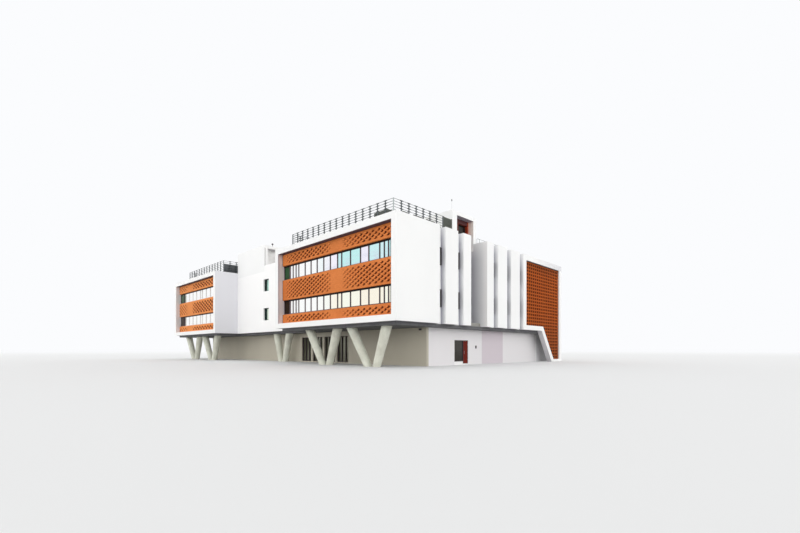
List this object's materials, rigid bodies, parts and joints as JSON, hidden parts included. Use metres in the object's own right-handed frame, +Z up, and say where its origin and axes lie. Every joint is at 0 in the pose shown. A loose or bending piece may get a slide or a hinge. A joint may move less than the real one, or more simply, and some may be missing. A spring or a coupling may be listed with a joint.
{
  "type": "office building scale model, 1:2",
  "caption": "White office building with two raised wings on raking columns, terracotta bands, strip windows, fins and a framed clay screen; the entrance door opens.",
  "frame": {"origin": "on the ground, in the middle of the building's plan", "axes": "+Z up, -Y towards the front with the terracotta bands, +X towards the side with the fins"},
  "size_m": [28.05, 16.715, 8.8],
  "materials": {
    "white_render": "smooth painted render",
    "terracotta": "matt fired clay",
    "dark_frame": "dark satin coating",
    "glass": "reflective glazing",
    "soffit_grey": "matt painted soffit",
    "beige_render": "matt painted render",
    "concrete": "smooth cast concrete",
    "red_frame": "satin paint",
    "railing_grey": "satin paint",
    "louvre_olive": "matt paint",
    "steel": "brushed",
    "floor_screed": "matt screed"
  },
  "bodies": {
    "building": {"back_beams": "white_render", "back_terracotta": "terracotta", "back_window_frames": "dark_frame", "back_window_glass": "glass", "entrance_frame": "dark_frame", "entrance_lintel": "white_render", "entrance_sill": "white_render", "entrance_window": "glass", "frame_hinges": "steel", "front_beams": "white_render", "front_terracotta": "terracotta", "front_window_frames": "dark_frame", "front_window_glass": "glass", "ground_back_wall": "white_render", "ground_front_wall": "beige_render", "ground_glass": "glass", "ground_side_walls": "white_render", "ground_slab": "floor_screed", "left_fins": "white_render", "left_piers": "white_render", "left_recess_wall": "white_render", "link_back_wall": "white_render", "link_columns": "concrete", "link_floors": "floor_screed", "link_front_wall": "white_render", "link_glass": "glass", "link_soffit": "soffit_grey", "link_window_frames": "dark_frame", "mast": "railing_grey", "right_fins": "white_render", "right_pier": "white_render", "right_recess_wall": "white_render", "roof_louvres": "louvre_olive", "roof_plant": "louvre_olive", "screen_frame": "white_render", "shop_window_frames": "dark_frame", "side_window_frames": "dark_frame", "side_window_glass": "glass", "slot_frame": "red_frame", "slot_glass": "glass", "slot_walls": "white_render", "terracotta_screen": "terracotta", "tower_a": "white_render", "tower_b": "white_render", "tower_b_panel": "red_frame", "wing_a_railing": "railing_grey", "wing_b_railing": "railing_grey", "wing_columns": "concrete", "wing_floors": "floor_screed", "wing_returns": "white_render", "wing_soffits": "soffit_grey"},
    "door": {"entrance_door": "red_frame", "door_handle": "steel", "door_hinges": "steel"}
  },
  "joints": [
    {"name": "entrance_door_hinge", "type": "hinge", "parent": "building", "child": "door", "pos_m": [13.131, -1.9005, 0], "axis": [0, 0, 1], "range_deg": [0, 90]}
  ]
}
